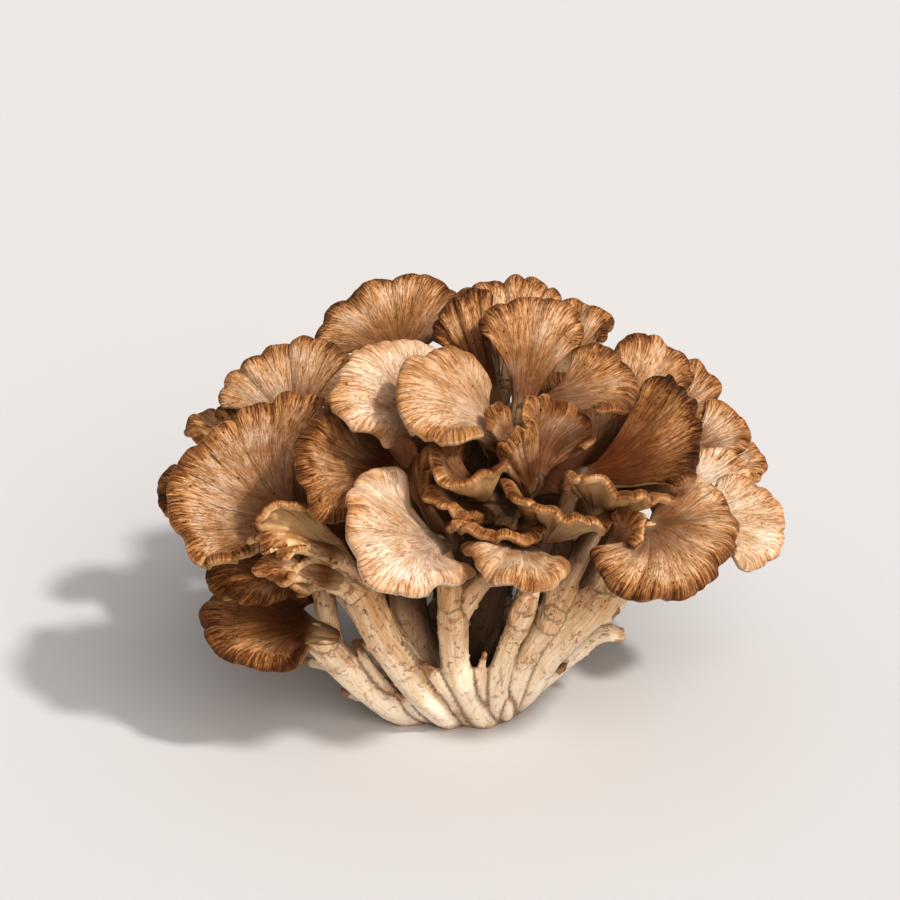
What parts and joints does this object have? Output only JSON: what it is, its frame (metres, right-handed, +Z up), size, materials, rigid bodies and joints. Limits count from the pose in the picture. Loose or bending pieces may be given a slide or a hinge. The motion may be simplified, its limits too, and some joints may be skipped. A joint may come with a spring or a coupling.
{
  "type": "maitake mushroom cluster",
  "caption": "Cluster of ruffled, fan-shaped mushroom fronds on pale branching stalks that grow from one flat-cut butt.",
  "frame": {"origin": "middle of the butt's flat cut face, which the cluster stands on", "axes": "+Z up from the cut face, +X along the cluster's widest way, -Y towards its open side"},
  "size_m": [0.1776, 0.1615, 0.1217],
  "materials": {
    "stalk": "matte",
    "tan_frond": "matte",
    "pale_frond": "matte",
    "dark_frond": "matte"
  },
  "bodies": {
    "root": {"back_centre": "dark_frond", "back_left": "tan_frond", "back_right_small": "tan_frond", "base": "stalk", "bottom_left": "dark_frond", "centre_pale": "pale_frond", "cup": "tan_frond", "cup_low": "tan_frond", "fork_left": "tan_frond", "fork_right": "tan_frond", "front_low": "pale_frond", "front_mid": "tan_frond", "front_pale": "pale_frond", "heart_far_left": "tan_frond", "heart_left": "tan_frond", "heart_low": "tan_frond", "heart_right": "tan_frond", "heart_side": "tan_frond", "inner_curl": "tan_frond", "left_back": "tan_frond", "left_centre": "dark_frond", "left_curl": "tan_frond", "left_curl_leaf": "tan_frond", "left_dark": "dark_frond", "left_edge_high": "tan_frond", "left_edge_low": "dark_frond", "left_edge_mid": "tan_frond", "left_fold": "tan_frond", "left_fold_low": "tan_frond", "left_pale": "pale_frond", "left_shell": "tan_frond", "rear_high_1": "tan_frond", "rear_high_2": "tan_frond", "rear_high_3": "tan_frond", "rear_high_4": "tan_frond", "rear_low_1": "tan_frond", "rear_low_2": "tan_frond", "rear_low_3": "tan_frond", "rear_low_4": "tan_frond", "rear_middle_1": "tan_frond", "rear_middle_2": "tan_frond", "rear_middle_3": "tan_frond", "rear_middle_4": "tan_frond", "rear_middle_5": "tan_frond", "rear_middle_6": "tan_frond", "right_back": "tan_frond", "right_dark": "dark_frond", "right_front": "tan_frond", "right_lobe": "tan_frond", "right_pale": "pale_frond", "right_pale_up": "pale_frond", "right_stack_1": "tan_frond", "right_stack_2": "tan_frond", "right_stack_3": "tan_frond", "right_tongue": "tan_frond", "small_blade": "tan_frond", "tall_fan": "tan_frond", "top_back": "tan_frond", "upright_blade": "tan_frond", "wavy_rim": "tan_frond"}
  },
  "joints": []
}
